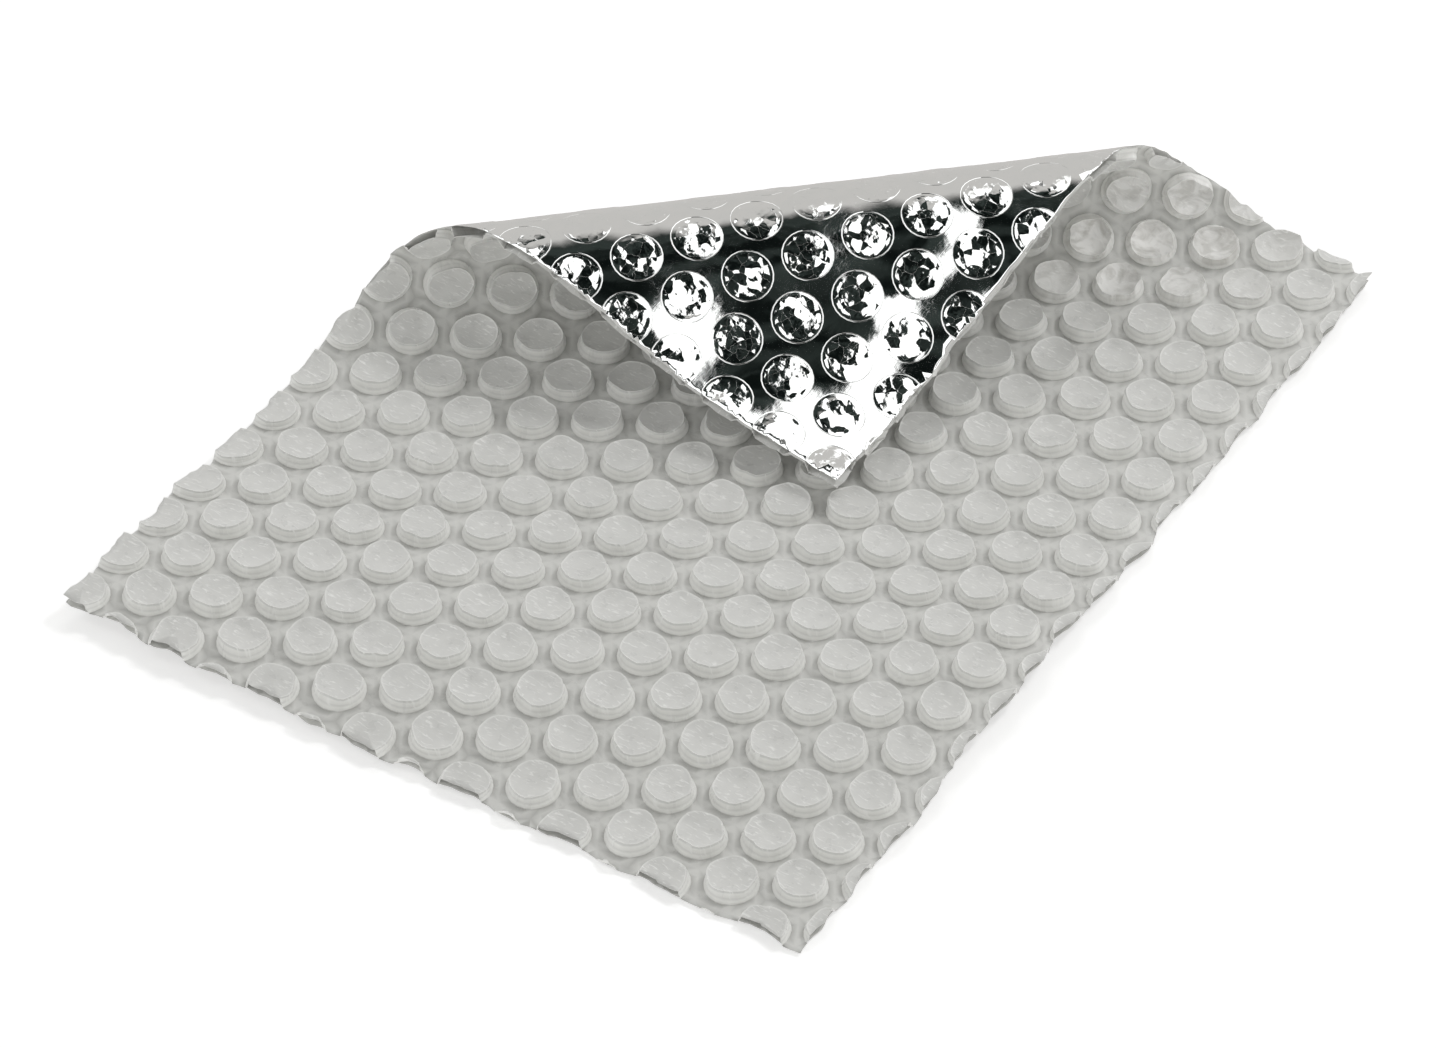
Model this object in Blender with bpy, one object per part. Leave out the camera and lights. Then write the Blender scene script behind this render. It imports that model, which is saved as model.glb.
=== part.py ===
"""A cut sheet of foil-backed bubble insulation, bubble side up, with one corner folded over.

Origin: middle of the rest face under the sheet. The short edge runs along X, the long
edge along Y, and the folded corner is the one at -X, +Y. All sizes are in metres.
"""

import math

import bmesh
import bpy

# The whole sheet, measured flat along its front and right edges.
SHEET_WIDTH = 0.160
SHEET_LENGTH = 0.2086

# It was cut by hand, so the other two edges run a little out of square.
FRONT_SLANT = 0.0025
BACK_SLANT = 0.0057
LEFT_SLANT = 0.0012

# The laminate: foil underneath, bubble film bonded on top of it.
FOIL_THICKNESS = 0.00025
BOND_GAP = 0.0003
FILM_THICKNESS = 0.00035
BUBBLE_HEIGHT = 0.0022
BUBBLE_SINK = 0.0001

# The bubbles stand in staggered rows that run along the long edge.
BUBBLE_PITCH = 0.0124
BUBBLE_FOOT_DIAMETER = 0.0101
BUBBLE_TOP_DIAMETER = 0.0089
BUBBLE_SIDES = 8
FIRST_ROW_X = 0.0013
FIRST_BUBBLE_Y = 0.0006

# The folded corner: the sheet leaves the floor, rolls over, leans back down and eases out
# until its tip rests on the bubbles underneath.
FOLD_ANGLE = math.radians(42.7)
FOLD_START = 0.0445
ROLL_LENGTH = 0.0751
ROLL_TURN = math.radians(221.4)
TAIL_LENGTH = 0.0312
TIP_GAP = 0.0004
ROLL_STEP = 0.0045
TAIL_STEP = 0.0095

# The sheet lies a little wavy: a low swell near the front corner and a raised right side.
SWELL_ANGLE = math.radians(114.1)
SWELL_START = -0.0483
SWELL_END = 0.0538
SWELL_HEIGHT = 0.0029
CURL_ANGLE = math.radians(63.4)
CURL_START = 0.1459
CURL_RATE = 0.089
WAVE_STEP = 0.0175


def clear_scene():
    """Remove everything the start-up scene holds."""
    for obj in list(bpy.data.objects):
        bpy.data.objects.remove(obj, do_unlink=True)


def make_material(name, colour, roughness, metallic):
    """Return a Principled material for one piece."""
    material = bpy.data.materials.new(name)
    material.use_nodes = True
    shader = material.node_tree.nodes["Principled BSDF"]
    shader.inputs["Base Color"].default_value = (*colour, 1.0)
    shader.inputs["Roughness"].default_value = roughness
    shader.inputs["Metallic"].default_value = metallic
    return material


def direction(angle):
    """Return the level unit vector at this angle from the X axis."""
    return math.cos(angle), math.sin(angle)


def along(axis, x, y):
    """Return how far a flat point lies along a level axis from the left corner."""
    return axis[0] * x + axis[1] * y


FOLD_AXIS = direction(FOLD_ANGLE + math.pi / 2)
SWELL_AXIS = direction(SWELL_ANGLE)
CURL_AXIS = direction(CURL_ANGLE)


def smooth_step(t):
    """Return a ramp from 0 to 1 with level ends."""
    t = min(max(t, 0.0), 1.0)
    return t * t * (3.0 - 2.0 * t)


# The sheet's four corners, flat: left, front, right, and the one that folds over.
LEFT_CORNER = (0.0, -FRONT_SLANT)
FRONT_CORNER = (SHEET_WIDTH, 0.0)
RIGHT_CORNER = (SHEET_WIDTH, SHEET_LENGTH)
FOLDED_CORNER = (-LEFT_SLANT, SHEET_LENGTH + BACK_SLANT)
OUTLINE = (LEFT_CORNER, FRONT_CORNER, RIGHT_CORNER, FOLDED_CORNER)


def roll_heading(s, unbend):
    """Return the sheet's heading, as an angle from level, at a distance past the fold start."""
    tail = min(max((s - ROLL_LENGTH) / TAIL_LENGTH, 0.0), 1.0)
    return ROLL_TURN * smooth_step(s / ROLL_LENGTH) - unbend * tail


def fold_stations():
    """Return the distances past the fold start where the sheet changes heading."""
    reach = along(FOLD_AXIS, *FOLDED_CORNER) - FOLD_START
    roll_count = round(ROLL_LENGTH / ROLL_STEP)
    stations = [ROLL_LENGTH * i / roll_count for i in range(roll_count + 1)]
    tail_count = math.ceil((reach - ROLL_LENGTH) / TAIL_STEP)
    tail = reach - ROLL_LENGTH
    stations += [ROLL_LENGTH + tail * i / tail_count for i in range(1, tail_count + 1)]
    return stations


def roll_profile(stations, unbend):
    """Return the foil's path through the fold: distance out, height and facing at each station."""
    out = 0.0
    height = 0.0
    frames = []
    steps = 24
    previous = 0.0
    for station in stations:
        for i in range(steps):
            s = previous + (station - previous) * (i + 0.5) / steps
            out += math.cos(roll_heading(s, unbend)) * (station - previous) / steps
            height += math.sin(roll_heading(s, unbend)) * (station - previous) / steps
        heading = roll_heading(station, unbend)
        frames.append((out, height, -math.sin(heading), math.cos(heading)))
        previous = station
    return frames


def resting_unbend(stations):
    """Return how far the tail eases out for its tip to rest, bubbles down, on the bubbles below."""
    laminate = FOIL_THICKNESS + BOND_GAP + FILM_THICKNESS + BUBBLE_HEIGHT
    low = 0.0
    high = math.pi / 2
    for _ in range(30):
        middle = (low + high) / 2.0
        if roll_profile(stations, middle)[-1][1] < 2.0 * laminate + TIP_GAP:
            low = middle
        else:
            high = middle
    return high


STATIONS = fold_stations()
FRAMES = roll_profile(STATIONS, resting_unbend(STATIONS))


def frame_at(s):
    """Return the fold frame at a distance past the fold start, straight between stations."""
    for i in range(len(STATIONS) - 1):
        if s <= STATIONS[i + 1] or i == len(STATIONS) - 2:
            t = (s - STATIONS[i]) / (STATIONS[i + 1] - STATIONS[i])
            return [a + (b - a) * t for a, b in zip(FRAMES[i], FRAMES[i + 1])]
    return FRAMES[-1]


def wave_height(x, y):
    """Return how high the flat-lying sheet stands off the floor at a point."""
    t = (along(SWELL_AXIS, x, y) - SWELL_START) / (SWELL_END - SWELL_START)
    swell = SWELL_HEIGHT * math.sin(math.pi * min(max(t, 0.0), 1.0)) ** 2
    over = max(along(CURL_AXIS, x, y) - CURL_START, 0.0)
    return swell + CURL_RATE * over * over


def lay_point(co):
    """Move a point of the flat laminate to where it lies in the folded, wavy sheet."""
    x, y, h = co
    s = along(FOLD_AXIS, x, y) - FOLD_START
    if s <= 0.0:
        return x, y, h + wave_height(x, y)
    out, height, side, up = frame_at(s)
    foot_x = x - FOLD_AXIS[0] * s
    foot_y = y - FOLD_AXIS[1] * s
    shift = out + side * h
    base = wave_height(foot_x, foot_y)
    return foot_x + FOLD_AXIS[0] * shift, foot_y + FOLD_AXIS[1] * shift, base + height + up * h


def even_cuts(start, end, step):
    """Return evenly spaced cut distances from start to end, both ends included."""
    count = math.ceil((end - start) / step)
    return [start + (end - start) * i / count for i in range(count + 1)]


def cut_lines():
    """Return each straight line along which the sheet bends, as an axis and a distance."""
    lines = [(FOLD_AXIS, FOLD_START + s) for s in STATIONS[:-1]]
    lines += [(SWELL_AXIS, d) for d in even_cuts(SWELL_START, SWELL_END, WAVE_STEP)]
    far = along(CURL_AXIS, *RIGHT_CORNER)
    lines += [(CURL_AXIS, d) for d in even_cuts(CURL_START, far, WAVE_STEP)]
    return lines


def outline_block(bottom, top):
    """Return a plain block with the sheet's outline between two heights."""
    mesh = bmesh.new()
    lower = [mesh.verts.new((x, y, bottom)) for x, y in OUTLINE]
    upper = [mesh.verts.new((x, y, top)) for x, y in OUTLINE]
    mesh.faces.new(lower[::-1])
    mesh.faces.new(upper)
    for i in range(4):
        j = (i + 1) % 4
        mesh.faces.new((lower[i], lower[j], upper[j], upper[i]))
    return mesh


def slab_mesh(bottom, top):
    """Return a flat sheet between two heights, scored along every bend line."""
    mesh = outline_block(bottom, top)
    for axis, distance in cut_lines():
        bmesh.ops.bisect_plane(
            mesh,
            geom=mesh.verts[:] + mesh.edges[:] + mesh.faces[:],
            dist=1e-7,
            plane_co=(axis[0] * distance, axis[1] * distance, 0.0),
            plane_no=(axis[0], axis[1], 0.0),
        )
    return mesh


def add_object(name, mesh, material):
    """Turn a bmesh into a scene object."""
    data = bpy.data.meshes.new(name)
    mesh.to_mesh(data)
    mesh.free()
    obj = bpy.data.objects.new(name, data)
    if material:
        data.materials.append(material)
    bpy.context.scene.collection.objects.link(obj)
    return obj


def bubble_centres():
    """Return the centre of every bubble that the cut sheet holds any of."""
    row_pitch = BUBBLE_PITCH * math.sqrt(3.0) / 2.0
    radius = BUBBLE_FOOT_DIAMETER / 2.0
    margin = 0.8 * radius
    centres = []
    row = 0
    while FIRST_ROW_X + row * row_pitch < SHEET_WIDTH + margin:
        x = FIRST_ROW_X + row * row_pitch
        y = FIRST_BUBBLE_Y - (BUBBLE_PITCH / 2.0) * (row % 2)
        square = 1.0 - x / SHEET_WIDTH
        while y < SHEET_LENGTH + BACK_SLANT * square + margin:
            if y > -FRONT_SLANT * square - margin:
                centres.append((x, y))
            y += BUBBLE_PITCH
        row += 1
    return centres


def bubble_mesh(bottom, top):
    """Return every bubble as a short tapered drum standing between two heights."""
    mesh = bmesh.new()
    for x, y in bubble_centres():
        made = bmesh.ops.create_cone(
            mesh,
            cap_ends=True,
            segments=BUBBLE_SIDES,
            radius1=BUBBLE_FOOT_DIAMETER / 2.0,
            radius2=BUBBLE_TOP_DIAMETER / 2.0,
            depth=top - bottom,
        )
        bmesh.ops.translate(mesh, verts=made["verts"], vec=(x, y, (top + bottom) / 2.0))
    return mesh


def join_solid(obj, other, operation):
    """Combine two solids exactly and drop the second."""
    modifier = obj.modifiers.new("join", "BOOLEAN")
    modifier.operation = operation
    modifier.solver = "EXACT"
    modifier.object = other
    bpy.context.view_layer.update()
    graph = bpy.context.evaluated_depsgraph_get()
    joined = bpy.data.meshes.new_from_object(obj.evaluated_get(graph))
    obj.modifiers.remove(modifier)
    obj.data = joined
    bpy.data.objects.remove(other, do_unlink=True)


def lay_down(obj):
    """Split the solid into triangles and fold it from flat into its resting shape."""
    mesh = bmesh.new()
    mesh.from_mesh(obj.data)
    bmesh.ops.triangulate(mesh, faces=mesh.faces[:])
    for vert in mesh.verts:
        x, y, z = lay_point(vert.co)
        vert.co = (x - SHEET_WIDTH / 2.0, y - (SHEET_LENGTH - FRONT_SLANT) / 2.0, z)
    bmesh.ops.recalc_face_normals(mesh, faces=mesh.faces[:])
    mesh.to_mesh(obj.data)
    mesh.free()


def build_foil():
    """The reflective foil laminate that lies underneath."""
    material = make_material("foil", (0.86, 0.87, 0.87), 0.12, 1.0)
    foil = add_object("foil_backing", slab_mesh(0.0, FOIL_THICKNESS), material)
    lay_down(foil)


def build_film():
    """The bubble film: a thin base sheet with its bubbles standing on it."""
    material = make_material("bubble_polyethylene", (0.62, 0.63, 0.60), 0.35, 0.0)
    bottom = FOIL_THICKNESS + BOND_GAP
    top = bottom + FILM_THICKNESS
    film = add_object("bubble_film", slab_mesh(bottom, top), material)
    bubbles = add_object(
        "bubbles", bubble_mesh(top - BUBBLE_SINK, top + BUBBLE_HEIGHT), material
    )
    cutter = add_object("trim", outline_block(-BUBBLE_PITCH, BUBBLE_PITCH), None)
    join_solid(bubbles, cutter, "INTERSECT")
    join_solid(film, bubbles, "UNION")
    lay_down(film)


clear_scene()
build_foil()
build_film()
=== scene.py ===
import math

import bmesh
import bpy
import numpy as np
from mathutils import Matrix, Vector, noise


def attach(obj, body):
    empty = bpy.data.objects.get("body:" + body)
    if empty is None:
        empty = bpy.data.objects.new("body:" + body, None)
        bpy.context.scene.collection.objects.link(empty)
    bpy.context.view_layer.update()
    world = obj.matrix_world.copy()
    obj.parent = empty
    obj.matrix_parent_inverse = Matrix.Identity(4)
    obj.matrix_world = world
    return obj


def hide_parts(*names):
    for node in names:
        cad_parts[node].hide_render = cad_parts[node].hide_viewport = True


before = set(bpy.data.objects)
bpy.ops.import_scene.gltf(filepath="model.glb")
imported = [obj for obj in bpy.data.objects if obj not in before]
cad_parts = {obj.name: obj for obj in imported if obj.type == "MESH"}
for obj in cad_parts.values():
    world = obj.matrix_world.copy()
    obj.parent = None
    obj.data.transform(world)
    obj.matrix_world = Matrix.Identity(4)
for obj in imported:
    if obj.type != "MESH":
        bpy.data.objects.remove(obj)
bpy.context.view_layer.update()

# ---------------------------------------------------------------------------------------
# Camera: a long lens looking down over the front corner of the sheet.
camera_data = bpy.data.cameras.new("camera")
camera_data.sensor_width = 36.0
camera_data.lens = 193.04
camera_data.clip_end = 50.0
camera = bpy.data.objects.new("camera", camera_data)
bpy.context.scene.collection.objects.link(camera)
bpy.context.scene.camera = camera

CAMERA_AZIMUTH = math.radians(-57.716)
CAMERA_ELEVATION = math.radians(44.728)
CAMERA_ROLL = math.radians(0.4884)
CAMERA_SLIDE = (0.003454, 0.015315, 1.471177)
CAMERA_AIM = (0.0, 0.00075, 0.0)


def aim_camera(obj, azimuth, elevation, roll, slide, aim):
    """Stand the camera off the sheet in that direction, slid across and back in its own axes."""
    away = Vector((math.cos(azimuth) * math.cos(elevation),
                   math.sin(azimuth) * math.cos(elevation), math.sin(elevation)))
    right = Vector((-math.sin(azimuth), math.cos(azimuth), 0.0))
    up = away.cross(right)
    level = math.cos(roll) * right + math.sin(roll) * up
    upright = math.cos(roll) * up - math.sin(roll) * right
    turn = Matrix((level, upright, away)).transposed()
    place = turn @ Vector((-slide[0], -slide[1], slide[2])) + aim
    obj.matrix_world = Matrix.Translation(place) @ turn.to_4x4()


aim_camera(camera, CAMERA_AZIMUTH, CAMERA_ELEVATION, CAMERA_ROLL, CAMERA_SLIDE,
           Vector(CAMERA_AIM))

# ---------------------------------------------------------------------------------------
# Foil backing: one sheet of metallised foil laminate, bonded under the bubble film. The
# bubbles press a ring and a crumpled disc through it. Its back left corner is folded over.
SHEET_WIDTH = 0.160
SHEET_LENGTH = 0.2086
FRONT_SLANT = 0.0025
BACK_SLANT = 0.0057
LEFT_SLANT = 0.0012
SHEET_CENTRE = (SHEET_WIDTH / 2, (SHEET_LENGTH - FRONT_SLANT) / 2)
CORNERS = ((0.0, -FRONT_SLANT), (SHEET_WIDTH, 0.0), (SHEET_WIDTH, SHEET_LENGTH),
           (-LEFT_SLANT, SHEET_LENGTH + BACK_SLANT))

BUBBLE_PITCH = 0.0124
ROW_PITCH = BUBBLE_PITCH * math.sqrt(3.0) / 2.0
FIRST_ROW_X = 0.0013
FIRST_BUBBLE_Y = 0.0006
CELL_SIDES = 24
LATTICE_ROWS = 17
LATTICE_RUN = 21
WELD_DISTANCE = 0.00002
CUT_TOLERANCE = 1e-6
FLAT_MAP_SCALE = 10.0

FOIL_LAND = 0.00012
FOIL_GROOVE = 0.00021
FOIL_THICKNESS = 0.00010

# One bubble's share of the foil: (reach, height) inwards from its six-sided outline.
FOIL_RINGS = ((None, FOIL_LAND), (0.00513, FOIL_LAND), (0.00500, FOIL_GROOVE),
              (0.00487, FOIL_LAND), (0.00405, 0.00004), (0.00280, 0.00003),
              (0.00140, 0.00002))
FOIL_MIDDLE = 0.00002
FOIL_CREASED = (1, 3)

# The crumpled disc inside each ring.
DISC_RIM = (0.0040, 0.0049)
SHARD_HEIGHT, SHARD_SIZE, SHARD_SEED = 0.00009, 0.0024, 3.0
CRUMPLE_DEPTH, CRUMPLE_SIZE, CRUMPLE_SEED = 0.00015, 0.0042, 11.0
DISC_LIFT = 0.00008
DISC_SPREAD = 0.00010


def level(degrees):
    """The level unit vector at this angle from the X axis."""
    return np.array([math.cos(math.radians(degrees)), math.sin(math.radians(degrees))])


FOLD_ANGLE = 42.7
ALONG_FOLD = level(FOLD_ANGLE)
FOLD_AXIS = level(FOLD_ANGLE + 90.0)
FOLD_START = 0.0445
ROLL_LENGTH = 0.0751
ROLL_TURN = math.radians(221.4)
TAIL_LENGTH = 0.0312
TIP_HEIGHT = 0.0068
PATH_LENGTH = 0.130
PATH_POINTS = 1301
SETTLE_STEPS = 30

SWELL_ANGLE = 114.1
SWELL_START = -0.0483
SWELL_END = 0.0538
SWELL_HEIGHT = 0.0029
CURL_ANGLE = 63.4
CURL_START = 0.1459
CURL_RATE = 0.089

# Bulges in the turned-over foil: (along the fold, past the fold, half-width, depth, height).
BULGES = ((0.114, 0.077, 0.009, 0.009, 0.0011), (0.137, 0.089, 0.006, 0.005, 0.0005),
          (0.173, 0.064, 0.006, 0.004, 0.0005), (0.166, 0.071, 0.006, 0.004, 0.0005),
          (0.158, 0.079, 0.006, 0.004, 0.0005), (0.151, 0.087, 0.006, 0.004, 0.0005),
          (0.187, 0.069, 0.004, 0.006, 0.0004), (0.178, 0.080, 0.004, 0.005, 0.0003),
          (0.140, 0.074, 0.004, 0.003, 0.0002))
TIP_TWIST = 0.060
TIP_PIVOT = 0.160
TWIST_START, TWIST_FULL = 0.086, 0.100
SWAY_HEIGHT, SWAY_SIZE, SWAY_SEED = 0.00022, 0.021, 7.0
SWAY_FULL = 0.02

# The cut edges' wander as (height, feature size, seed), weaker on the turned-over corner.
WANDERS = ((0.0013, 0.0068, 31.0), (0.0005, 0.0026, 41.0))
WANDER_BAND = 0.0045
FIRM_SHARE = 0.65
FIRM_START, FIRM_FULL = 0.030, 0.050


def fold_path(unbend):
    """Distance along the foil through the fold, with its heading, way out and height."""
    s = np.linspace(0.0, PATH_LENGTH, PATH_POINTS)
    t = np.clip(s / ROLL_LENGTH, 0.0, 1.0)
    tail = np.clip((s - ROLL_LENGTH) / TAIL_LENGTH, 0.0, 1.0)
    heading = ROLL_TURN * t * t * (3.0 - 2.0 * t) - unbend * tail
    middle = (heading[1:] + heading[:-1]) / 2.0
    out = np.concatenate([[0.0], np.cumsum(np.cos(middle) * np.diff(s))])
    height = np.concatenate([[0.0], np.cumsum(np.sin(middle) * np.diff(s))])
    return s, heading, out, height


def resting_fold():
    """The fold whose tail has eased out until its tip is down to TIP_HEIGHT."""
    reach = float(np.dot(FOLD_AXIS, CORNERS[3])) - FOLD_START
    low, high = 0.0, math.pi / 2
    for _ in range(SETTLE_STEPS):
        middle = (low + high) / 2.0
        s, _, _, height = fold_path(middle)
        if np.interp(reach, s, height) < TIP_HEIGHT:
            low = middle
        else:
            high = middle
    return fold_path(high)


FOLD = resting_fold()


def wave_height(flat):
    """How high the sheet stands off the floor: a low swell in front and a raised right side."""
    t = np.clip((flat @ level(SWELL_ANGLE) - SWELL_START) / (SWELL_END - SWELL_START), 0.0, 1.0)
    over = np.maximum(flat @ level(CURL_ANGLE) - CURL_START, 0.0)
    return SWELL_HEIGHT * np.sin(math.pi * t) ** 2 + CURL_RATE * over * over


def past_fold(flat):
    """How far a flat point lies past the line where the sheet starts to lift."""
    return flat @ FOLD_AXIS - FOLD_START


def rough(points, size, seed):
    """Smooth noise between -1 and 1 over features of this size, the same every time."""
    return np.array([noise.noise(Vector(p) / size + Vector((seed, 2.3 * seed, 0.7)))
                     for p in points])


def smooth(low, high, x):
    """A ramp from 0 to 1 between two values, with level ends."""
    t = np.clip((x - low) / (high - low), 0.0, 1.0)
    return t * t * (3.0 - 2.0 * t)


def loose(flat, s):
    """How far the loose turned-over corner bulges and twists away from its smooth fold."""
    t = flat @ ALONG_FOLD
    sway = rough(np.column_stack([flat, 0.0 * t]), SWAY_SIZE, SWAY_SEED)
    out = SWAY_HEIGHT * sway * smooth(0.0, SWAY_FULL, s)
    for across, past, half, deep, high in BULGES:
        out += high * np.exp(-((t - across) / half) ** 2 - ((s - past) / deep) ** 2)
    twist = TIP_TWIST * np.maximum(TIP_PIVOT - t, 0.0)
    return out + twist * smooth(TWIST_START, TWIST_FULL, s)


def from_edge(flat):
    """For each flat point, its distance inside every cut edge, and that edge's way out."""
    found = []
    for i in range(4):
        a, b = np.array(CORNERS[i]), np.array(CORNERS[(i + 1) % 4])
        along = (b - a) / np.linalg.norm(b - a)
        outward = np.array([along[1], -along[0]])
        found.append(((a - flat) @ outward, outward, flat @ along))
    return found


def ragged(flat):
    """Flat points with the cut edges drawn in and out a little, as scissors leave them."""
    moved = flat.copy()
    for i, (inside, outward, along) in enumerate(from_edge(flat)):
        spots = np.column_stack([along, 0.0 * along, 0.0 * along])
        wander = sum(height * rough(spots, size, seed + i) for height, size, seed in WANDERS)
        firm = FIRM_SHARE * smooth(FIRM_START, FIRM_FULL, past_fold(flat))
        wander = wander * (1.0 - firm)
        moved += (wander * (1.0 - smooth(0.0, WANDER_BAND, inside)))[:, None] * outward
    return moved


def lay_down(points):
    """Fold points of the flat laminate, given with their height, to where they lie."""
    flat = ragged(points[:, :2])
    s = np.maximum(past_fold(flat), 0.0)
    foot = flat - s[:, None] * FOLD_AXIS
    heading = np.interp(s, FOLD[0], FOLD[1])
    height = points[:, 2] - loose(flat, s)
    shift = np.interp(s, FOLD[0], FOLD[2]) - np.sin(heading) * height
    rise = np.interp(s, FOLD[0], FOLD[3]) + np.cos(heading) * height
    plan = foot + shift[:, None] * FOLD_AXIS - np.array(SHEET_CENTRE)
    return np.column_stack([plan, rise + wave_height(foot)])


def hex_reach(angle):
    """Distance from a bubble's centre to the edge of its six-sided share of the sheet."""
    off = (math.degrees(angle) % 60.0) - 30.0
    return BUBBLE_PITCH / 2.0 / math.cos(math.radians(off))


def cell_mesh(name, rings, middle, creased):
    """One bubble's share of a sheet: rings of (reach, height), the first one six-sided."""
    mesh = bmesh.new()
    reach_layer = mesh.verts.layers.float.new("reach")
    rise_layer = mesh.verts.layers.float.new("rise")
    loops = []
    for reach, rise in rings:
        loop = []
        for i in range(CELL_SIDES):
            angle = 2.0 * math.pi * i / CELL_SIDES
            r = hex_reach(angle) if reach is None else reach
            vert = mesh.verts.new((r * math.cos(angle), r * math.sin(angle), rise))
            vert[reach_layer] = r
            vert[rise_layer] = rise
            loop.append(vert)
        loops.append(loop)
    centre = mesh.verts.new((0.0, 0.0, middle))
    centre[rise_layer] = middle
    for outer, inner in zip(loops, loops[1:]):
        for i in range(CELL_SIDES):
            j = (i + 1) % CELL_SIDES
            mesh.faces.new((outer[i], outer[j], inner[j], inner[i]))
    for i in range(CELL_SIDES):
        mesh.faces.new((loops[-1][i], loops[-1][(i + 1) % CELL_SIDES], centre))
    for k in creased:
        for i in range(CELL_SIDES):
            mesh.edges.get((loops[k][i], loops[k][(i + 1) % CELL_SIDES])).smooth = False
    data = bpy.data.meshes.new(name)
    mesh.to_mesh(data)
    mesh.free()
    return bpy.data.objects.new(name, data)


def fill(node, values):
    """Give a node's sockets their constants and their links."""
    for key, value in values.items():
        if isinstance(value, bpy.types.NodeSocket):
            node.id_data.links.new(value, node.inputs[key])
        else:
            node.inputs[key].default_value = value


def node_adder(tree):
    """A way to add a node to this tree with its sockets filled and its settings made."""

    def add(kind, values=None, **settings):
        made = tree.nodes.new(kind)
        for key, value in settings.items():
            setattr(made, key, value)
        fill(made, values or {})
        return made

    return add


def bubble_lattice():
    """Geometry Nodes that repeat one cell in staggered rows, each with its own luck."""
    tree = bpy.data.node_groups.new("bubble_lattice", "GeometryNodeTree")
    sockets = tree.interface
    sockets.new_socket("Geometry", in_out="INPUT", socket_type="NodeSocketGeometry")
    for name, kind in (("Cell", "Object"), ("Rows", "Int"), ("Bubbles in a row", "Int"),
                       ("Bubble pitch", "Float"), ("Row pitch", "Float"),
                       ("First row", "Float"), ("First bubble", "Float"),
                       ("Seed", "Int"), ("Finish", "Material")):
        sockets.new_socket(name, in_out="INPUT", socket_type="NodeSocket" + kind)
    sockets.new_socket("Geometry", in_out="OUTPUT", socket_type="NodeSocketGeometry")
    add = node_adder(tree)

    def maths(operation, a, b):
        return add("ShaderNodeMath", {0: a, 1: b}, operation=operation).outputs[0]

    def store(geometry, name, value):
        """Keep a vector on each point of the geometry under this name."""
        return add("GeometryNodeStoreNamedAttribute",
                   {"Geometry": geometry, "Name": name, "Value": value},
                   data_type="FLOAT_VECTOR", domain="POINT").outputs[0]

    given = add("NodeGroupInput").outputs
    width = maths("MULTIPLY", maths("SUBTRACT", given["Rows"], 1), given["Row pitch"])
    length = maths("MULTIPLY", maths("SUBTRACT", given["Bubbles in a row"], 1),
                   given["Bubble pitch"])
    grid = add("GeometryNodeMeshGrid",
               {"Size X": width, "Size Y": length, "Vertices X": given["Rows"],
                "Vertices Y": given["Bubbles in a row"]}).outputs["Mesh"]
    place = add("ShaderNodeSeparateXYZ",
                {0: add("GeometryNodeInputPosition").outputs[0]}).outputs
    x = maths("ADD", place["X"], maths("MULTIPLY", width, 0.5))
    y = maths("ADD", place["Y"], maths("MULTIPLY", length, 0.5))
    row = maths("ROUND", maths("DIVIDE", x, given["Row pitch"]), 0.0)
    half_pitch = maths("MULTIPLY", given["Bubble pitch"], 0.5)
    back = maths("MULTIPLY", maths("MODULO", row, 2.0), half_pitch)
    spot = add("ShaderNodeCombineXYZ",
               {"X": maths("ADD", x, given["First row"]),
                "Y": maths("ADD", maths("SUBTRACT", y, back), given["First bubble"])})
    moved = add("GeometryNodeSetPosition", {"Geometry": grid, "Position": spot.outputs[0]})
    centred = store(moved.outputs[0], "centre", add("GeometryNodeInputPosition").outputs[0])
    chance = add("FunctionNodeRandomValue", {"Seed": given["Seed"]}, data_type="FLOAT_VECTOR")
    lucky = store(centred, "luck", chance.outputs["Value"])
    shape = add("GeometryNodeObjectInfo", {"Object": given["Cell"]}).outputs["Geometry"]
    repeated = add("GeometryNodeInstanceOnPoints", {"Points": lucky, "Instance": shape})
    real = add("GeometryNodeRealizeInstances", {0: repeated.outputs[0]})
    welded = add("GeometryNodeMergeByDistance",
                 {"Geometry": real.outputs[0], "Distance": WELD_DISTANCE})
    finish = add("GeometryNodeSetMaterial",
                 {"Geometry": welded.outputs[0], "Material": given["Finish"]})
    add("NodeGroupOutput", {0: finish.outputs[0]})
    return tree


LATTICE = bubble_lattice()


def repeat_cell(cell, finish, seed):
    """The whole flat lattice of one cell as a plain mesh, a little larger than the sheet."""
    bpy.context.scene.collection.objects.link(cell)
    holder = bpy.data.objects.new("lattice", bpy.data.meshes.new("lattice"))
    bpy.context.scene.collection.objects.link(holder)
    modifier = holder.modifiers.new("lattice", "NODES")
    modifier.node_group = LATTICE
    values = {"Cell": cell, "Rows": LATTICE_ROWS, "Bubbles in a row": LATTICE_RUN,
              "Bubble pitch": BUBBLE_PITCH, "Row pitch": ROW_PITCH,
              "First row": FIRST_ROW_X - ROW_PITCH,
              "First bubble": FIRST_BUBBLE_Y - BUBBLE_PITCH / 2.0,
              "Seed": seed, "Finish": finish}
    for item in LATTICE.interface.items_tree:
        if item.in_out == "INPUT" and item.name in values:
            modifier[item.identifier] = values[item.name]
    bpy.context.view_layer.update()
    graph = bpy.context.evaluated_depsgraph_get()
    made = bpy.data.meshes.new_from_object(holder.evaluated_get(graph))
    bpy.data.objects.remove(holder)
    bpy.data.objects.remove(cell)
    return made


def column(data, name, width):
    """One attribute of a mesh's points as an array."""
    values = np.zeros(len(data.vertices) * width, np.float32)
    data.attributes[name].data.foreach_get("vector" if width == 3 else "value", values)
    return values.reshape(-1, width).astype(float) if width > 1 else values.astype(float)


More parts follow.
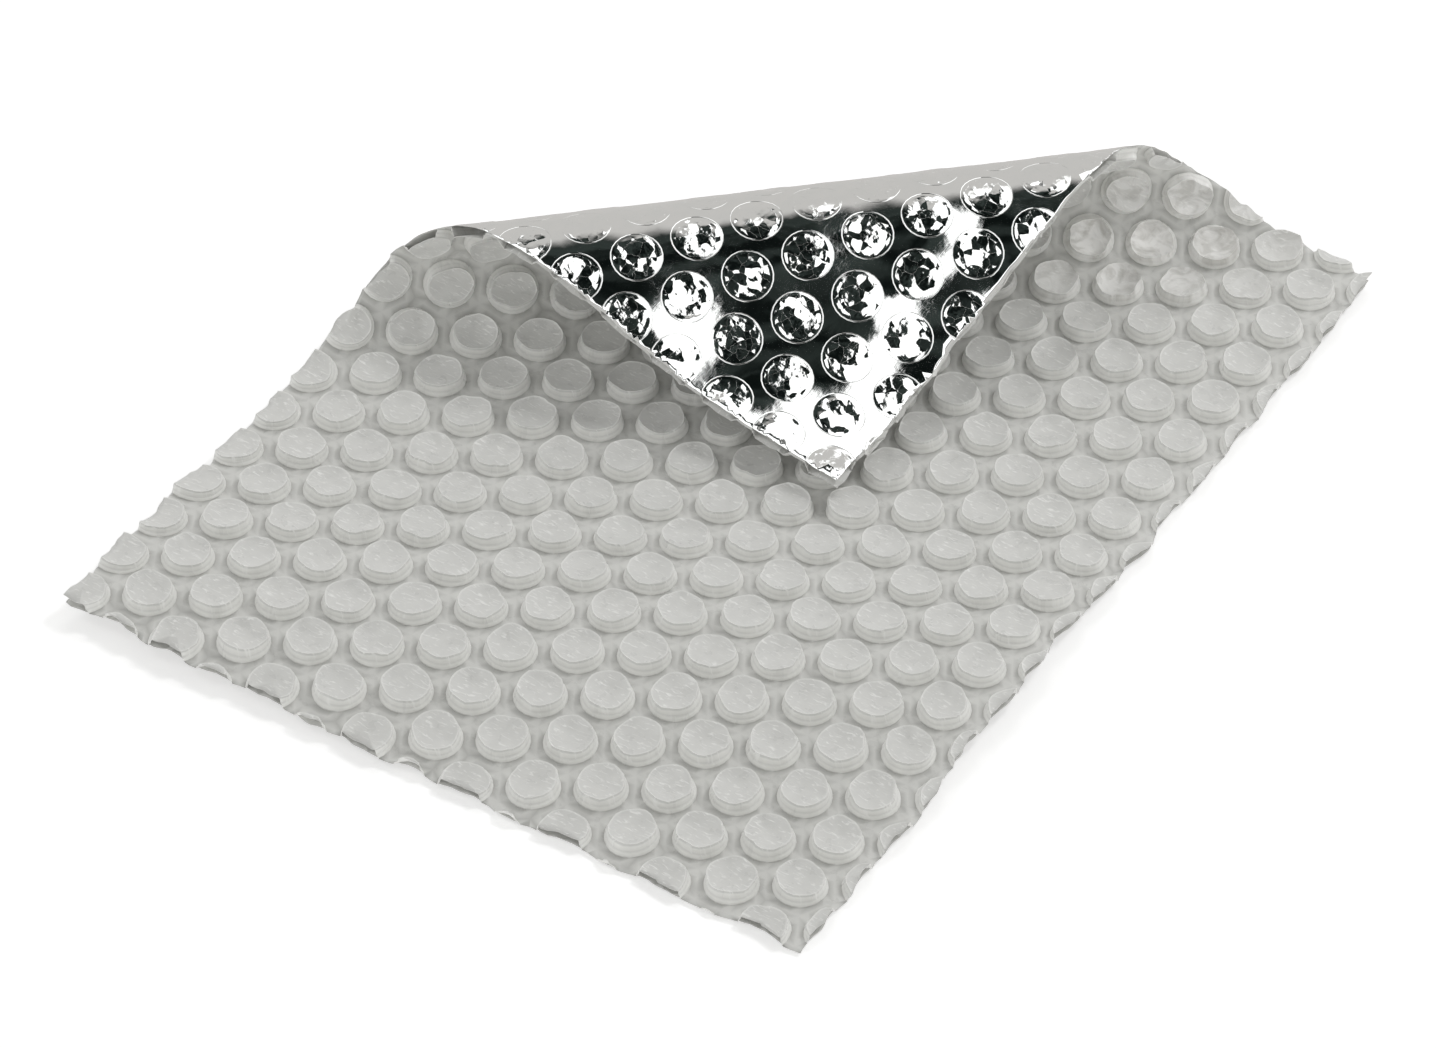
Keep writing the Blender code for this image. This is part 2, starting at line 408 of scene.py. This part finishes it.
def points_of(data):
    """A mesh's points as an array."""
    co = np.zeros(len(data.vertices) * 3, np.float32)
    data.vertices.foreach_get("co", co)
    return co.reshape(-1, 3).astype(float)


def set_points(data, points):
    """Put an array back as a mesh's points."""
    data.vertices.foreach_set("co", points.astype(np.float32).ravel())
    data.update()


def cut_to_sheet(data, grow=0.0):
    """Trim the flat lattice along the four cut edges, leaving them open."""
    mesh = bmesh.new()
    mesh.from_mesh(data)
    for i in range(4):
        a, b = Vector((*CORNERS[i], 0.0)), Vector((*CORNERS[(i + 1) % 4], 0.0))
        outward = Vector(((b - a).y, -(b - a).x, 0.0)).normalized()
        bmesh.ops.bisect_plane(mesh, geom=mesh.verts[:] + mesh.edges[:] + mesh.faces[:],
                               dist=CUT_TOLERANCE, plane_co=a + outward * grow, plane_no=outward,
                               clear_outer=True)
    mesh.to_mesh(data)
    mesh.free()


def write_flat_map(data, points):
    """A UV map that holds each point's place on the flat sheet, in decimetres."""
    layer = data.uv_layers.new(name="flat")
    corner = np.zeros(len(data.loops), np.int32)
    data.loops.foreach_get("vertex_index", corner)
    placed = points[corner, :2] * FLAT_MAP_SCALE
    layer.data.foreach_set("uv", placed.astype(np.float32).ravel())


def finish_material(name):
    """A new Principled material, its shader and a way to add nodes."""
    material = bpy.data.materials.new(name)
    material.use_nodes = True
    tree = material.node_tree
    return material, tree.nodes["Principled BSDF"], node_adder(tree)


def foil_finish():
    """Bright metallised foil with a fine rolled grain and soft creases."""
    material, shader, add = finish_material("bright_foil")
    flat = add("ShaderNodeUVMap", uv_map="flat").outputs[0]
    rolled = add("ShaderNodeMapping",
                 {0: flat, "Rotation": (0.0, 0.0, math.radians(FOLD_ANGLE)),
                  "Scale": (40.0, 900.0, 1.0)}).outputs[0]
    grain = add("ShaderNodeTexNoise",
                {"Vector": rolled, "Scale": 1.0, "Detail": 3.0}).outputs["Fac"]
    crease = add("ShaderNodeTexNoise",
                 {"Vector": flat, "Scale": 26.0, "Detail": 2.5, "Roughness": 0.55}).outputs
    soft = add("ShaderNodeBump",
               {"Strength": 1.0, "Distance": 0.00003, "Height": crease["Fac"]}).outputs[0]
    warped = add("ShaderNodeMix", {0: 0.012, 6: flat, 7: crease["Color"]},
                 data_type="RGBA", blend_type="LINEAR_LIGHT").outputs[2]

    # Each facet of a disc leans its own way.
    facet = add("ShaderNodeTexVoronoi", {"Vector": warped, "Scale": 42.0}, feature="F1").outputs
    offset = add("ShaderNodeVectorMath", {0: warped, 1: facet["Position"]},
                 operation="SUBTRACT").outputs[0]
    lean = add("ShaderNodeVectorMath", {0: facet["Color"], 1: (0.5, 0.5, 0.5)},
               operation="SUBTRACT").outputs[0]
    slope = add("ShaderNodeVectorMath", {0: offset, 1: lean},
                operation="DOT_PRODUCT").outputs["Value"]
    reach = add("ShaderNodeAttribute", attribute_name="reach").outputs["Fac"]
    disc = add("ShaderNodeMapRange", {"Value": reach, "From Min": 0.0046, "From Max": 0.0036},
               interpolation_type="SMOOTHSTEP").outputs[0]
    crumple = add("ShaderNodeMath", {0: slope, 1: disc}, operation="MULTIPLY").outputs[0]
    shatter = add("ShaderNodeBump", {"Strength": 1.0, "Distance": 0.020, "Height": crumple,
                                     "Normal": soft}).outputs[0]
    fine = add("ShaderNodeBump", {"Strength": 0.25, "Distance": 0.000012, "Height": grain,
                                  "Normal": shatter}).outputs[0]

    tint = add("ShaderNodeMix", {0: crease["Fac"], 6: (0.84, 0.86, 0.85, 1.0),
                                 7: (0.91, 0.91, 0.90, 1.0)}, data_type="RGBA").outputs[2]
    gloss = add("ShaderNodeMapRange",
                {"Value": grain, "To Min": 0.03, "To Max": 0.07}).outputs[0]
    fill(shader, {"Metallic": 1.0, "Normal": fine, "Base Color": tint, "Roughness": gloss})
    return material


def crumple_foil(points, reach, luck):
    """The foil's height with each bubble's crumpled disc pressed into it."""
    height = points[:, 2].copy()
    inside = 1.0 - smooth(*DISC_RIM, reach)
    flat = points * (1.0, 1.0, 0.0)
    shards = rough(flat, SHARD_SIZE, SHARD_SEED)
    folds = np.abs(rough(flat, CRUMPLE_SIZE, CRUMPLE_SEED))
    height += inside * (SHARD_HEIGHT * shards - CRUMPLE_DEPTH * folds + DISC_LIFT)
    height += inside * DISC_SPREAD * (luck[:, 0] - 0.5)
    return height


def build_foil():
    """The foil sheet, cut to size, pressed by the bubbles and folded."""
    cell = cell_mesh("foil_cell", FOIL_RINGS, FOIL_MIDDLE, FOIL_CREASED)
    data = repeat_cell(cell, foil_finish(), 5)
    cut_to_sheet(data)
    points = points_of(data)
    height = crumple_foil(points, column(data, "reach", 1), column(data, "luck", 3))
    points[:, 2] = np.maximum(height, 0.0)
    write_flat_map(data, points)
    set_points(data, lay_down(points))
    data.flip_normals()
    foil = bpy.data.objects.new("foil_sheet", data)
    bpy.context.scene.collection.objects.link(foil)
    return foil


def give_thickness(obj, thickness, inner_finish=0):
    """Close an open skin into a thin sheet on its inner side."""
    wall = obj.modifiers.new("wall", "SOLIDIFY")
    wall.thickness = thickness
    wall.offset = -1.0
    wall.use_even_offset = False
    wall.material_offset = inner_finish
    bpy.context.view_layer.update()
    graph = bpy.context.evaluated_depsgraph_get()
    made = bpy.data.meshes.new_from_object(obj.evaluated_get(graph))
    obj.modifiers.remove(wall)
    obj.data = made


def shade_smooth(obj):
    """Smooth shading over the whole piece."""
    obj.data.polygons.foreach_set("use_smooth", [True] * len(obj.data.polygons))


def base_film_finish():
    """The milky inner film that faces the bubbles, bonded to the back of the foil."""
    material, shader, add = finish_material("milky_base_film")
    flat = add("ShaderNodeUVMap", uv_map="flat").outputs[0]
    cloud = add("ShaderNodeTexNoise", {"Vector": flat, "Scale": 60.0, "Detail": 4.0})
    tone = add("ShaderNodeMix", {0: cloud.outputs["Fac"], 6: (0.52, 0.52, 0.50, 1.0),
                                 7: (0.70, 0.70, 0.68, 1.0)}, data_type="RGBA")
    fill(shader, {"Roughness": 0.45, "Base Color": tone.outputs[2]})
    return material


foil_sheet = build_foil()
foil_sheet.data.materials.append(base_film_finish())
give_thickness(foil_sheet, FOIL_THICKNESS, inner_finish=1)
shade_smooth(foil_sheet)
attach(foil_sheet, "root")
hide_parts("foil_backing")

# ---------------------------------------------------------------------------------------
# Bubble film: milky polyethylene drawn up into short round drums full of air, in staggered
# rows. Each drum has a flat, slightly dished top. The cut edges leave some of them open.
FILM_LAND = 0.00036
BUBBLE_TOP = 0.00300
FILM_WALL = 0.00010
FILM_OVERHANG = 0.0004

# One bubble's share of the film: (reach, height) inwards from its six-sided outline.
FILM_RINGS = ((None, FILM_LAND), (0.00514, FILM_LAND), (0.00508, 0.00070),
              (0.00496, 0.00112), (0.00468, 0.00148), (0.00462, 0.00240),
              (0.00438, BUBBLE_TOP), (0.00398, 0.00282))
FILM_MIDDLE = 0.00276
FILM_CREASED = (1, 6)

# How each drum strays from its plain shape. Ramps are (start, full).
DRUM_RISE = (0.0006, 0.0025)
TOP_RIM = (0.0034, 0.0044)
TOP_RADIUS = 0.0043
OWN_HEIGHT = 0.10
TOP_TILT = 0.00016
TOP_SINK = 0.00022
OVAL = 0.00016
FLUTES = 0.00010
WALL_ROUGH, WALL_SIZE, WALL_SEED = 0.00026, 0.0021, 51.0
PINCH_DEPTH, PINCH_WIDTH = 0.00050, 0.30
DENT_HEIGHT, DENT_SIZE, DENT_SEED = 0.00022, 0.0034, 5.0
CUT_RIM = (0.0018, 0.0056)
CUT_SINK = 0.30
CENTRE_REACH = 1e-5

# The worn patch beside the right end of the fold, with what it does to the drums there.
WEAR_PAST, WEAR_DEPTH = 0.0155, 0.0150
WEAR_ALONG, WEAR_WIDTH = 0.2180, 0.0240
WEAR_STRENGTH = 0.80
WEAR_RISE = (0.0005, 0.0018)
CRUSH_TOP, CRUSH_LEAST = 0.0007, 0.4
CRUSH_SHIFT, CRUSH_SIZE = 0.0007, 0.0030
CRUSH_SEEDS = (21.0, 22.0, 23.0)
CRUSH_SINK = 0.0004

# The gaps towards the six neighbouring drums, all equally dark: painted shade in the narrow land
# between drums.
GAP_DIRECTIONS = (30.0, 90.0, 150.0)
GAP_SHADE_DEPTH = 0.60
GAP_EDGE = (0.84, 0.98)
GAP_BAND = 0.0001

# The film's grey at these shares of a drum's height.
WALL_TONES = ((0.10, 0.86), (0.30, 0.90), (0.42, 0.76), (0.52, 0.84), (0.80, 0.86),
              (0.87, 0.70), (0.92, 0.66), (0.95, 0.68))
WARM_GREY = 0.968


def set_ends(ramp, first, last):
    """Place and colour a colour ramp's two end stops, each given as (position, colour)."""
    for stop, (position, color) in zip(ramp.elements, (first, last)):
        stop.position = position
        stop.color = color


def film_finish():
    """Milky, slightly glossy film: darker where it lies on the foil, paler up the walls."""
    material, shader, add = finish_material("milky_bubble_film")
    rise = add("ShaderNodeAttribute", attribute_name="rise").outputs["Fac"]
    flat = add("ShaderNodeUVMap", uv_map="flat").outputs[0]

    # Colour up the wall of a drum, a little cloudy.
    height = add("ShaderNodeMapRange",
                 {"Value": rise, "From Min": FILM_LAND, "From Max": BUBBLE_TOP}).outputs[0]
    wall = add("ShaderNodeValToRGB", {0: height})
    set_ends(wall.color_ramp, (0.0, (0.71, 0.71, 0.687, 1.0)), (1.0, (0.82, 0.82, 0.797, 1.0)))
    for position, value in WALL_TONES:
        stop = wall.color_ramp.elements.new(position)
        stop.color = (value, value, value * WARM_GREY, 1.0)
    cloud = add("ShaderNodeTexNoise",
                {"Vector": flat, "Scale": 30.0, "Detail": 5.0}).outputs["Fac"]
    tone = add("ShaderNodeMapRange", {"Value": cloud, "From Min": 0.3, "From Max": 0.7,
                                      "To Min": 0.93, "To Max": 1.04}).outputs[0]
    mottle = add("ShaderNodeMix", {0: 1.0, 6: wall.outputs[0], 7: tone},
                 data_type="RGBA", blend_type="MULTIPLY").outputs[2]

    # Painted shade: darker in the gaps between drums.
    between = add("ShaderNodeAttribute", attribute_name="between").outputs["Fac"]
    film_with_gap_shade = add("ShaderNodeMix", {0: between, 6: mottle, 7: (0.32, 0.32, 0.30, 1.0)},
              data_type="RGBA").outputs[2]

    # Pale scuffs on the drums.
    scuff_map = add("ShaderNodeMapping", {0: flat, "Rotation": (0.0, 0.0, -0.35),
                                          "Scale": (55.0, 190.0, 1.0)}).outputs[0]
    scuff = add("ShaderNodeTexNoise", {"Vector": scuff_map, "Scale": 1.0, "Detail": 4.0,
                                       "Distortion": 0.8}).outputs["Fac"]
    fleck = add("ShaderNodeMapRange",
                {"Value": scuff, "From Min": 0.54, "From Max": 0.72, "To Max": 0.75},
                interpolation_type="SMOOTHSTEP").outputs[0]
    drum = add("ShaderNodeMapRange", {"Value": rise, "From Min": 0.0006, "From Max": 0.0016},
               interpolation_type="SMOOTHSTEP").outputs[0]
    scuffed = add("ShaderNodeMath", {0: fleck, 1: drum}, operation="MULTIPLY").outputs[0]
    pale = add("ShaderNodeMix", {0: scuffed, 6: film_with_gap_shade, 7: (0.93, 0.93, 0.91, 1.0)},
               data_type="RGBA").outputs[2]

    # Pearly where the film is worn.
    worn = add("ShaderNodeAttribute", attribute_name="worn").outputs["Fac"]
    pearl = add("ShaderNodeTexNoise", {"Vector": flat, "Scale": 22.0, "Detail": 3.0,
                                       "Distortion": 1.6}).outputs["Fac"]
    pearly = add("ShaderNodeValToRGB", {0: pearl})
    set_ends(pearly.color_ramp, (0.38, (0.56, 0.545, 0.51, 1.0)), (0.60, (0.96, 0.95, 0.93, 1.0)))
    aged = add("ShaderNodeMix", {0: worn, 6: pale, 7: pearly.outputs[0]},
               data_type="RGBA").outputs[2]

    # Painted sheen: whiter at grazing angles, mixed into the base colour.
    sheen_facing = add("ShaderNodeLayerWeight", {"Blend": 0.22}).outputs["Facing"]
    edge = add("ShaderNodeMix", {0: sheen_facing, 6: aged, 7: (0.97, 0.97, 0.955, 1.0)},
               data_type="RGBA").outputs[2]

    gloss = add("ShaderNodeMapRange", {"Value": cloud, "From Min": 0.3, "From Max": 0.7,
                                       "To Min": 0.24, "To Max": 0.40}).outputs[0]

    # Fine folds round the walls, then scratches.
    place = add("ShaderNodeVectorMath", {0: flat, "Scale": 22.0}, operation="SCALE").outputs[0]
    split = add("ShaderNodeSeparateXYZ", {0: place}).outputs
    up_wall = add("ShaderNodeMath", {0: rise, 1: 2600.0}, operation="MULTIPLY").outputs[0]
    spread = add("ShaderNodeCombineXYZ",
                 {"X": split["X"], "Y": split["Y"], "Z": up_wall}).outputs[0]
    ripple = add("ShaderNodeTexNoise",
                 {"Vector": spread, "Scale": 1.0, "Detail": 3.0}).outputs["Fac"]
    scratch_map = add("ShaderNodeMapping", {0: flat, "Rotation": (0.0, 0.0, 0.6),
                                            "Scale": (60.0, 420.0, 1.0)}).outputs[0]
    scratch = add("ShaderNodeTexNoise",
                  {"Vector": scratch_map, "Scale": 1.0, "Detail": 2.0}).outputs["Fac"]
    folds = add("ShaderNodeBump",
                {"Strength": 0.6, "Distance": 0.00030, "Height": ripple}).outputs[0]
    fine = add("ShaderNodeBump", {"Strength": 0.35, "Distance": 0.00006, "Height": scratch,
                                  "Normal": folds}).outputs[0]
    fill(shader, {"IOR": 1.5, "Base Color": edge, "Roughness": gloss, "Normal": fine})
    return material


def rubbed(flat):
    """How worn the film is, from 0 to 1: a patch beside the right end of the fold."""
    past = (past_fold(flat) - WEAR_PAST) / WEAR_DEPTH
    along = (flat @ ALONG_FOLD - WEAR_ALONG) / WEAR_WIDTH
    return np.exp(-(past ** 2 + along ** 2) ** 1.5)


def shape_bubbles(points, centre, reach, luck):
    """Give each drum its own small tilt, dents and creases, and crush the worn ones."""
    made = points.copy()
    away = points[:, :2] - centre[:, :2]
    up = smooth(*DRUM_RISE, points[:, 2])
    top = 1.0 - smooth(*TOP_RIM, reach)
    angle = np.arctan2(away[:, 1], away[:, 0])
    lean = 2.0 * math.pi * luck[:, 0]
    own = 1.0 + OWN_HEIGHT * (luck[:, 1] - 0.5)
    made[:, 2] = FILM_LAND + (points[:, 2] - FILM_LAND) * own
    made[:, 2] += up * TOP_TILT * np.cos(angle - lean) * reach / TOP_RADIUS
    made[:, 2] -= up * top * TOP_SINK * luck[:, 2]

    # Walls: slightly oval, fluted and rough, with one pinch.
    bend = OVAL * np.cos(2.0 * angle - 3.0 * lean) + FLUTES * np.cos(5.0 * angle + lean)
    bend = bend + WALL_ROUGH * rough(points, WALL_SIZE, WALL_SEED)
    off = (angle - 5.0 * lean + math.pi) % (2.0 * math.pi) - math.pi
    bend = bend - PINCH_DEPTH * luck[:, 2] * np.exp(-(off / PINCH_WIDTH) ** 2)
    made[:, :2] += away / np.maximum(reach, CENTRE_REACH)[:, None] * (up * bend)[:, None]
    made[:, 2] += up * DENT_HEIGHT * rough(points, DENT_SIZE, DENT_SEED)

    # Drums cut by an edge have sunk, and worn ones are crushed.
    left = np.min([inside for inside, _, _ in from_edge(centre[:, :2])], axis=0)
    open_end = 1.0 - smooth(*CUT_RIM, left)
    made[:, 2] -= open_end * CUT_SINK * np.maximum(made[:, 2] - FILM_LAND, 0.0)
    crush = rubbed(centre[:, :2]) * up
    made[:, 2] -= crush * CRUSH_TOP * top * (CRUSH_LEAST + luck[:, 1])
    for axis, seed in enumerate(CRUSH_SEEDS):
        made[:, axis] += crush * CRUSH_SHIFT * rough(points, CRUSH_SIZE, seed)
    made[:, 2] -= crush * CRUSH_SINK
    return made


def write_mark(data, name, values):
    """Keep one number for each of a mesh's points under this name."""
    layer = data.attributes.new(name, "FLOAT", "POINT")
    layer.data.foreach_set("value", values.astype(np.float32))


def painted_gap_shade(points, centre):
    """How much shade is painted on the film in the narrow gaps towards the six neighbouring
    drums.
    """
    away = points[:, :2] - centre[:, :2]
    angle = np.degrees(np.arctan2(away[:, 1], away[:, 0]))
    dark = np.zeros(len(points))
    for direction in GAP_DIRECTIONS:
        lined_up = np.abs(np.cos(np.radians(angle - direction)))
        dark = np.maximum(dark, GAP_SHADE_DEPTH * smooth(*GAP_EDGE, lined_up))
    return dark * (points[:, 2] < FILM_LAND + GAP_BAND)


def build_film():
    """The bubble film, cut to size, bonded over the foil and folded with it."""
    cell = cell_mesh("film_cell", FILM_RINGS, FILM_MIDDLE, FILM_CREASED)
    data = repeat_cell(cell, film_finish(), 9)
    cut_to_sheet(data, FILM_OVERHANG)
    points = points_of(data)
    centre = column(data, "centre", 3)
    shaped = shape_bubbles(points, centre, column(data, "reach", 1), column(data, "luck", 3))
    write_flat_map(data, points)
    # The between mark holds the painted shade for the gaps between drums.
    write_mark(data, "between", painted_gap_shade(points, centre))
    worn = WEAR_STRENGTH * rubbed(centre[:, :2]) * smooth(*WEAR_RISE, points[:, 2])
    write_mark(data, "worn", worn)
    set_points(data, lay_down(shaped))
    film = bpy.data.objects.new("bubble_film_sheet", data)
    bpy.context.scene.collection.objects.link(film)
    return film


bubble_film_sheet = build_film()
give_thickness(bubble_film_sheet, FILM_WALL)
shade_smooth(bubble_film_sheet)
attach(bubble_film_sheet, "root")
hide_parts("bubble_film")

# ---------------------------------------------------------------------------------------
# Studio: a plain pale floor, soft light all round and three soft lamps. Glossy reflections
# see a room of their own, and neither the floor nor the lamps.
FLOOR_HALF = 3
FLOOR_LEVEL = -0.0004
BEHIND = (-0.678, 0.735, 0.0)
BESIDE = (0.735, 0.678, 0.0)
OVERHEAD = (0.0, 0.0, 1.0)
floor_data = bpy.data.meshes.new("floor")
floor_data.from_pydata([(-FLOOR_HALF, -FLOOR_HALF, FLOOR_LEVEL),
                        (FLOOR_HALF, -FLOOR_HALF, FLOOR_LEVEL),
                        (FLOOR_HALF, FLOOR_HALF, FLOOR_LEVEL),
                        (-FLOOR_HALF, FLOOR_HALF, FLOOR_LEVEL)], [], [(0, 1, 2, 3)])
floor = bpy.data.objects.new("floor", floor_data)
bpy.context.scene.collection.objects.link(floor)
white, white_shader, _ = finish_material("white_floor")
fill(white_shader, {"Base Color": (0.92, 0.92, 0.92, 1.0), "Roughness": 0.9,
                    "Emission Color": (1.0, 1.0, 1.0, 1.0), "Emission Strength": 0.35})
floor_data.materials.append(white)
floor.visible_glossy = False


def light_room():
    """Soft light for the scene, and a wall, a dark band and two lamps for reflections."""
    world = bpy.data.worlds.new("studio")
    bpy.context.scene.world = world
    world.use_nodes = True
    tree = world.node_tree
    tree.nodes.clear()
    add = node_adder(tree)
    way = add("ShaderNodeTexCoord").outputs["Generated"]

    def band(direction, start, full):
        """A soft-edged mask over the part of the room that lies that way."""
        toward = add("ShaderNodeVectorMath", {0: way, 1: direction}, operation="DOT_PRODUCT")
        return add("ShaderNodeMapRange", {"Value": toward.outputs["Value"], "From Min": start,
                                          "From Max": full},
                   interpolation_type="SMOOTHSTEP").outputs[0]

    def either(a, b):
        return add("ShaderNodeMath", {0: a, 1: b}, operation="MAXIMUM").outputs[0]

    def both(a, b):
        return add("ShaderNodeMath", {0: a, 1: b}, operation="MULTIPLY").outputs[0]

    wall = either(band(BEHIND, 0.40, 0.64), band(OVERHEAD, 0.45, 0.30))
    right_lamp = both(band(BESIDE, 0.192, 0.202), band(BEHIND, 0.68, 0.58))
    left_lamp = both(band(BESIDE, -0.13, -0.15), band(BEHIND, 0.50, 0.40))
    lamp = both(either(right_lamp, left_lamp), band(OVERHEAD, 0.40, 0.55))
    murk = add("ShaderNodeTexNoise", {"Vector": way, "Scale": 5.0, "Detail": 3.0})
    shade = add("ShaderNodeMapRange", {"Value": murk.outputs["Fac"], "From Min": 0.42,
                                       "From Max": 0.62}).outputs[0]
    gloom = add("ShaderNodeMix", {0: shade, 6: (0.004, 0.006, 0.0055, 1.0),
                                  7: (0.034, 0.043, 0.040, 1.0)}, data_type="RGBA").outputs[2]
    room = add("ShaderNodeMix", {0: wall, 6: gloom, 7: (0.60, 0.585, 0.570, 1.0)},
               data_type="RGBA").outputs[2]
    lit = add("ShaderNodeMix", {0: lamp, 6: room, 7: (1.5, 1.5, 1.5, 1.0)},
              data_type="RGBA").outputs[2]
    reflected = add("ShaderNodeBackground", {"Color": lit}).outputs[0]

    up = add("ShaderNodeSeparateXYZ", {0: way}).outputs["Z"]
    strength = add("ShaderNodeMapRange", {"Value": up, "From Min": 0.0, "From Max": 1.0,
                                          "To Min": 1.06, "To Max": 0.32}).outputs[0]
    soft = add("ShaderNodeBackground",
               {"Color": (1.0, 1.0, 0.985, 1.0), "Strength": strength}).outputs[0]
    glossy = add("ShaderNodeLightPath").outputs["Is Glossy Ray"]
    choose = add("ShaderNodeMixShader", {0: glossy, 1: soft, 2: reflected})
    add("ShaderNodeOutputWorld", {"Surface": choose.outputs[0]})


light_room()


def soft_light(name, place, size, power):
    """A soft square lamp aimed at the sheet."""
    data = bpy.data.lights.new(name, "AREA")
    data.shape = "RECTANGLE"
    data.size, data.size_y = size
    data.energy = power
    lamp = bpy.data.objects.new(name, data)
    lamp.location = place
    inward = Vector((0.0, 0.0, 0.0)) - Vector(place)
    lamp.rotation_euler = inward.to_track_quat("-Z", "Y").to_euler()
    lamp.visible_glossy = False
    bpy.context.scene.collection.objects.link(lamp)


soft_light("back_light", place=(-0.55, 0.95, 1.2), size=(0.6, 0.4), power=2.2)
soft_light("left_light", place=(-1.2, -0.5, 1.3), size=(0.35, 0.5), power=1.5)
soft_light("right_light", place=(0.50, 0.95, 1.3), size=(0.30, 0.30), power=5.6)

bpy.context.scene.view_settings.view_transform = "Standard"
